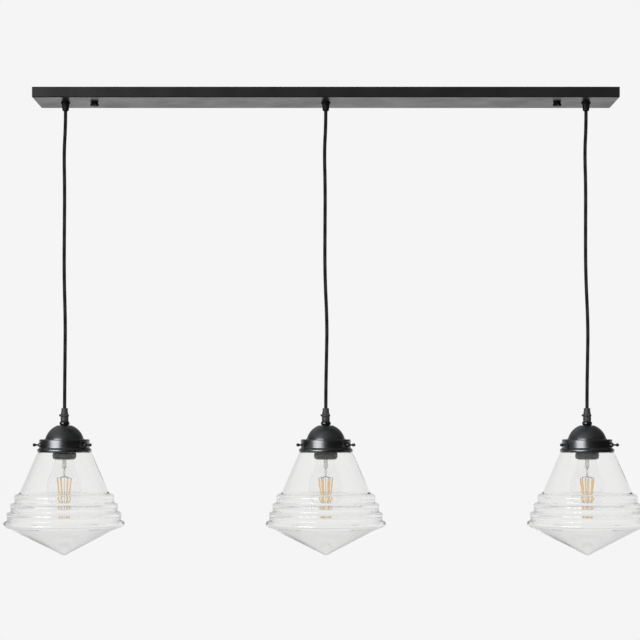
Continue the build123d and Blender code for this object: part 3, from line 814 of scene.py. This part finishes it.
for side, x in lampX.items():
    makeClamp(side, x)
    collarMesh = spunMesh(f"{side}Collar", collar["profile"], x, steps=96)
    finishPiece(collarMesh, f"{side}Collar", "collar", f"{side}_lamp", "collar", f"{side}_collar")
    makeDome(side, x)
    makeGallery(side, x)
    for name, angle in thumbScrew["angles"].items():
        makeThumbScrew(side, x, name, angle)
print("glass shades")
shade = {
    "steps": 192,
    "profile": [
        (33.6, 585.0, 0.6), (40.0, 585.0, 0.8), (40.0, 589.3, 0.6), (37.6, 589.3, 0.6), (37.6, 601.2, 2.2),
        (44.9, 601.2, 2.6),
        (77.0, 674.3, 2.2), (86.4, 677.3, 4.2), (84.6, 689.7, 2.0), (93.0, 692.7, 3.8), (91.2, 705.1, 2.0),
        (98.7, 708.1, 3.4), (96.9, 720.5, 1.8), (103.5, 723.5, 3.4), (103.5, 730.0, 2.6),
        (99.5, 733.0, 2.0), (3.0, 780.6, 2.5), (0.0, 781.0),
        (0.0, 776.6), (2.0, 775.9, 1.5), (94.6, 730.3, 3.0), (97.5, 727.0, 2.0), (92.9, 722.5, 1.6),
        (92.9, 712.1, 2.4), (87.2, 707.1, 1.6), (87.2, 696.7, 2.4), (80.6, 691.7, 1.6), (80.6, 681.3, 2.6),
        (72.9, 675.2, 2.0), (41.6, 603.8, 1.4), (33.6, 603.8, 2.5),
    ],
}
for side, x in lampX.items():
    # the profile meets the axis at both tips, so the spun shell is one closed solid of glass
    shadeMesh = spunMesh(f"{side}Shade", shade["profile"], x, steps=shade["steps"])
    node = f"{side}_shade"
    finishPiece(shadeMesh, f"{side}Shade", "shade", f"{side}_lamp", "shade_glass", node, sharp=70)


print("lampholders and bulbs")
lampholder = {
    "profile": [
        (5.05, 565.8), (9.0, 565.8, 0.8), (16.3, 572.8, 1.5), (16.3, 583.0), (20.5, 583.0, 0.6),
        (20.4, 590.0, 2.0), (19.7, 598.0, 4.0), (19.7, 606.0, 1.5), (20.4, 608.4, 0.6),
        (20.4, 613.0, 1.4), (18.6, 616.2, 0.8), (17.6, 616.2, 0.3), (17.6, 608.5), (13.9, 608.5, 0.4),
        (13.9, 585.4), (3.5, 585.4), (3.5, 572.8), (5.05, 572.8),
    ],
}
bulbCap = {
    "foot": [(0.0, 588.5), (4.8, 588.5, 0.5), (4.8, 589.7), (6.0, 590.6), (12.0, 594.2, 0.6)],
    "radius": 13.1,
    "wall": 0.4,
    "threads": 5,
    "threadStart": 595.4,
    "pitch": 3.2,
    "groove": 0.75,
    "rim": 614.5,
    "floor": 600.5,
    "floorRadius": 11.9,
}
bulbGlass = {
    "outside": [
        (12.6, 601.0), (12.6, 611.5), (13.4, 614.0), (15.6, 615.6), (16.8, 617.6), (17.2, 621.0),
        (18.2, 627.0), (20.4, 633.6), (23.6, 640.0), (26.8, 647.0), (29.0, 654.5), (30.0, 663.0),
        (29.6, 670.6), (27.4, 678.6), (23.0, 685.8), (16.6, 691.4), (8.6, 694.8), (0.0, 695.6),
    ],
    "wall": 0.8,
}
bulbStem = {
    "end": 631.8,
    "profile": [
        (0.0, 601.2), (8.5, 601.2, 0.6), (8.0, 604.0, 0.6), (4.6, 609.6, 1.5), (3.6, 613.0, 1.5),
        (3.6, 626.0, 0.6), (3.9, 629.5, 0.8), (2.6, 632.3, 0.5), (0.0, 632.5),
    ],
}
filament = {
    "count": 6,
    "turned": 0.12,  # how far the first one stands round from the side, as a share of their spacing
    "radius": 1.2,
    "endGap": 1.6,
    "topRing": 11.9,
    "bottomRing": 7.6,
    "topDepth": 649.5,
    "bottomDepth": 685.5,
}
leadWire = {
    "radius": 0.32,
    "endRadius": 0.448,
    "endOut": 0.6,
    "endIn": 2.4,
    "short": 0.4,
    "hubRise": 3.4,
    "footDrop": 1.6,
    "rodAbove": 0.3,
    "twistSteps": 14,
    "twistHalfTurns": 2.2,
    "twistEnd": 0.5,
    "twistSwell": 1.5,
}


def makeBulbCap(side, x):
    radius = bulbCap["radius"]
    profile = list(bulbCap["foot"])
    level = bulbCap["threadStart"]
    for _ in range(bulbCap["threads"]):
        profile += [
            (radius - bulbCap["groove"], level, 0.5),
            (radius, level + bulbCap["pitch"] * 0.5, 0.7),
        ]
        level += bulbCap["pitch"]
    profile += [
        (radius - 0.3, level, 0.3), (radius, bulbCap["rim"]), (radius - bulbCap["wall"], bulbCap["rim"]),
        (bulbCap["floorRadius"], bulbCap["floor"]), (0.0, bulbCap["floor"]),
    ]
    mesh = spunMesh(f"{side}BulbCap", profile, x, steps=72)
    finishPiece(mesh, f"{side}BulbCap", "bulbCap", f"{side}_bulb", "bulb_cap", f"{side}_bulb_cap")


def makeBulbGlass(side, x):
    bm = bmesh.new()
    wire(bm, bulbGlass["outside"], closed=False, support=0)
    spinWire(bm, 40)
    bmesh.ops.translate(bm, vec=(x * mm, 0, 0), verts=bm.verts)
    mesh = meshFrom(bm, f"{side}BulbGlass")
    node = f"{side}_bulb_glass"
    piece = finishPiece(mesh, f"{side}BulbGlass", "bulb", f"{side}_bulb", "bulb_glass", node, sharp=80)
    wall = piece.modifiers.new("wall", "SOLIDIFY")
    wall.thickness = bulbGlass["wall"] * mm
    wall.offset = -1
    rounder = piece.modifiers.new("rounder", "SUBSURF")
    rounder.levels = 2
    rounder.render_levels = 2


def addTwist(bm, start, end):
    # two lead wires, twisted once round each other on their way to the filaments
    steps = leadWire["twistSteps"]
    for firstAngle in (0, math.pi):
        points = []
        for step in range(steps + 1):
            share = step / steps
            swing = leadWire["twistSwell"] * math.sin(math.pi * share) + leadWire["twistEnd"]
            angle = firstAngle + leadWire["twistHalfTurns"] * math.pi * share
            outward = Vector((math.cos(angle), math.sin(angle), 0))
            points.append(start.lerp(end, share) + outward * swing * mm)
        for here, after in zip(points, points[1:]):
            addRod(bm, here, after, leadWire["radius"] * mm, 8)


def makeFilaments(side, x):
    coated = bmesh.new()
    wires = bmesh.new()
    up = Vector((0, 0, mm))
    high = place(x, 0, filament["topDepth"])
    low = place(x, 0, filament["bottomDepth"])
    hub = high + up * leadWire["hubRise"]
    foot = low - up * leadWire["footDrop"]
    thin = leadWire["radius"] * mm
    thick = leadWire["endRadius"] * mm
    for number in range(filament["count"]):
        angle = 2 * math.pi * (number + filament["turned"]) / filament["count"]
        spoke = Vector((math.cos(angle), math.sin(angle), 0)) * mm
        top = high + spoke * filament["topRing"]
        bottom = low + spoke * filament["bottomRing"]
        along = (bottom - top).normalized() * mm
        gap = along * filament["endGap"]
        addRod(coated, top + gap, bottom - gap, filament["radius"] * mm, 16)
        out = along * leadWire["endOut"]
        into = along * leadWire["endIn"]
        addRod(wires, top - out, top + into, thick, 10)
        addRod(wires, bottom - into, bottom + out, thick, 10)
        short = along * leadWire["short"]
        addRod(wires, hub, top - short, thin, 8)
        addRod(wires, foot, bottom + short, thin, 8)
    addTwist(wires, place(x, 0, bulbStem["end"]), hub)
    addRod(wires, hub + up * leadWire["rodAbove"], foot, thin, 8)
    coatedMesh = meshFrom(coated, f"{side}Filaments")
    wireMesh = meshFrom(wires, f"{side}LeadWires")
    node = f"{side}_filaments"
    finishPiece(coatedMesh, f"{side}Filaments", "filament", f"{side}_bulb", "filament", node)
    finishPiece(wireMesh, f"{side}LeadWires", "leadWire", f"{side}_bulb", "filament")


for side, x in lampX.items():
    holderMesh = spunMesh(f"{side}Lampholder", lampholder["profile"], x, steps=96)
    node = f"{side}_lampholder"
    finishPiece(holderMesh, f"{side}Lampholder", "lampholder", f"{side}_lamp", "lampholder", node)
    makeBulbCap(side, x)
    makeBulbGlass(side, x)
    stemMesh = spunMesh(f"{side}BulbStem", bulbStem["profile"], x, steps=48, closed=False)
    node = f"{side}_bulb_stem"
    finishPiece(stemMesh, f"{side}BulbStem", "stem", f"{side}_bulb", "stem_glass", node)
    makeFilaments(side, x)


print("floor, lights and world")
white = (1, 1, 1, 1)
studio = {
    "floorCentre": (0, 0.4, -1.9),
    "floorRadius": 3.6,
    "fadeStart": 1.4,
    "fadeEnd": 3.492,
    "floorColour": (0.86, 0.86, 0.86, 1),
    "background": (0.913, 0.913, 0.913, 1),
    "floorShare": 0.78,
    "floorInMirror": 0.12,
}


def glowing(tree, colour, strength):
    node = addNode(tree, "ShaderNodeEmission", {"Color": colour})
    if isinstance(strength, (int, float)):
        node.inputs["Strength"].default_value = strength
    else:
        tree.links.new(strength, node.inputs["Strength"])
    return node.outputs[0]


def makeFloor():
    bm = bmesh.new()
    bmesh.ops.create_circle(bm, cap_ends=True, segments=96, radius=studio["floorRadius"])
    bmesh.ops.translate(bm, vec=studio["floorCentre"], verts=bm.verts)
    mesh = meshFrom(bm, "floor")
    floor = bpy.data.objects.new("floor", mesh)
    scene.collection.objects.link(floor)
    material = bpy.data.materials.new("floorWhite")
    material.use_nodes = True
    tree = material.node_tree
    tree.nodes.clear()
    output = addNode(tree, "ShaderNodeOutputMaterial")
    rays = addNode(tree, "ShaderNodeLightPath").outputs
    matte = addNode(tree, "ShaderNodeBsdfDiffuse", {"Color": studio["floorColour"]}).outputs[0]
    dim = glowing(tree, white, studio["floorInMirror"])
    mirrored = mixShaders(tree, rays["Is Glossy Ray"], matte, dim)
    # a ray through glass counts as glossy too, so what the camera and glass see goes on top
    seen = reckon(tree, "MAXIMUM", rays["Is Camera Ray"], rays["Is Transmission Ray"])
    share = reckon(tree, "MULTIPLY", seen, studio["floorShare"])
    lit = mixShaders(tree, share, mirrored, glowing(tree, studio["background"], 1.0))
    # the floor fades out towards its edge
    coordinates = addNode(tree, "ShaderNodeTexCoord")
    centred = addNode(tree, "ShaderNodeVectorMath", {1: studio["floorCentre"]}, operation="SUBTRACT")
    far = addNode(tree, "ShaderNodeVectorMath", operation="LENGTH")
    tree.links.new(coordinates.outputs["Object"], centred.inputs[0])
    tree.links.new(centred.outputs["Vector"], far.inputs[0])
    fade = spread(tree, far.outputs["Value"], 0, 1, studio["fadeStart"], studio["fadeEnd"], smooth=True)
    clear = addNode(tree, "ShaderNodeBsdfTransparent").outputs[0]
    tree.links.new(mixShaders(tree, fade, lit, clear), output.inputs["Surface"])
    mesh.materials.append(material)


# what mirrors and glass meet around the lamp, by the direction of the ray: each range has
# its value at the start, its value at the end, and where along the direction it starts and ends
room = {
    "backdropInMirror": (0.0, 1.0, 0.35, 0.9),
    "horizonDrop": 0.14,
    "horizonInMirror": (0.95, 0.15, 0.08, 0.42),
    "ceilingInMirror": (0.0, 1.0, 0.1, 0.7),
    "ceilingFromLeft": (0.36, 0.09, -0.5, 0.4),
    "leastInMirror": 0.022,
    "levelInGlass": (0.913, 0.72, 0.25, 0.95),
    "leftInGlass": (0.84, 1.0, -0.75, -0.15),
    "ambient": 0.55,
}


def makeWorld():
    world = bpy.data.worlds.new("studio")
    scene.world = world
    world.use_nodes = True
    tree = world.node_tree
    tree.nodes.clear()
    output = addNode(tree, "ShaderNodeOutputWorld")
    rays = addNode(tree, "ShaderNodeLightPath").outputs
    coordinates = addNode(tree, "ShaderNodeTexCoord")
    split = addNode(tree, "ShaderNodeSeparateXYZ")
    tree.links.new(coordinates.outputs["Generated"], split.inputs["Vector"])
    rightward, backward, upward = split.outputs

    # mirrored rays meet a white backdrop behind the lamp, a dim room in front of it and a soft ceiling
    behind = spread(tree, backward, *room["backdropInMirror"], smooth=True)
    fromHorizon = reckon(tree, "ABSOLUTE", reckon(tree, "ADD", upward, room["horizonDrop"]))
    band = spread(tree, fromHorizon, *room["horizonInMirror"], smooth=True)
    bright = reckon(tree, "MULTIPLY", behind, band)
    overhead = spread(tree, upward, *room["ceilingInMirror"], smooth=True)
    fromLeft = spread(tree, rightward, *room["ceilingFromLeft"])
    ceiling = reckon(tree, "MULTIPLY_ADD", overhead, fromLeft, room["leastInMirror"])
    mirrored = glowing(tree, white, reckon(tree, "ADD", bright, ceiling))

    # refracted rays meet white all round, with a darker ceiling, ground and left-hand side
    level = spread(tree, reckon(tree, "ABSOLUTE", upward), *room["levelInGlass"], smooth=True)
    leftward = spread(tree, rightward, *room["leftInGlass"], smooth=True)
    refracted = glowing(tree, white, reckon(tree, "MULTIPLY", level, leftward))

    # the camera's own rays see the plain background, and all others a soft even light
    surroundings = glowing(tree, white, room["ambient"])
    surroundings = mixShaders(tree, rays["Is Glossy Ray"], surroundings, mirrored)
    surroundings = mixShaders(tree, rays["Is Transmission Ray"], surroundings, refracted)
    backdrop = glowing(tree, studio["background"], 1.0)
    surroundings = mixShaders(tree, rays["Is Camera Ray"], surroundings, backdrop)
    tree.links.new(surroundings, output.inputs["Surface"])


keyLight = {"spot": (-5.5, -7.15, 0.6), "aim": (0, 0, -0.55), "width": 6.6, "height": 4.2, "power": 590}
topLight = {"spot": (0.6, -0.6, 1.5), "aim": (0, 0, -0.3), "width": 1.6, "height": 1.2, "power": 30}


def softbox(name, lamp, shines=True):
    light = bpy.data.lights.new(name, "AREA")
    light.shape = "RECTANGLE"
    light.size = lamp["width"]
    light.size_y = lamp["height"]
    light.energy = lamp["power"]
    lightObject = bpy.data.objects.new(name, light)
    scene.collection.objects.link(lightObject)
    spot = Vector(lamp["spot"])
    lightObject.location = spot
    lightObject.rotation_euler = (Vector(lamp["aim"]) - spot).to_track_quat("-Z", "Y").to_euler()
    lightObject.visible_camera = False
    lightObject.visible_transmission = False
    lightObject.visible_glossy = shines


makeFloor()
makeWorld()
softbox("keySoftbox", keyLight)
softbox("topSoftbox", topLight, shines=False)
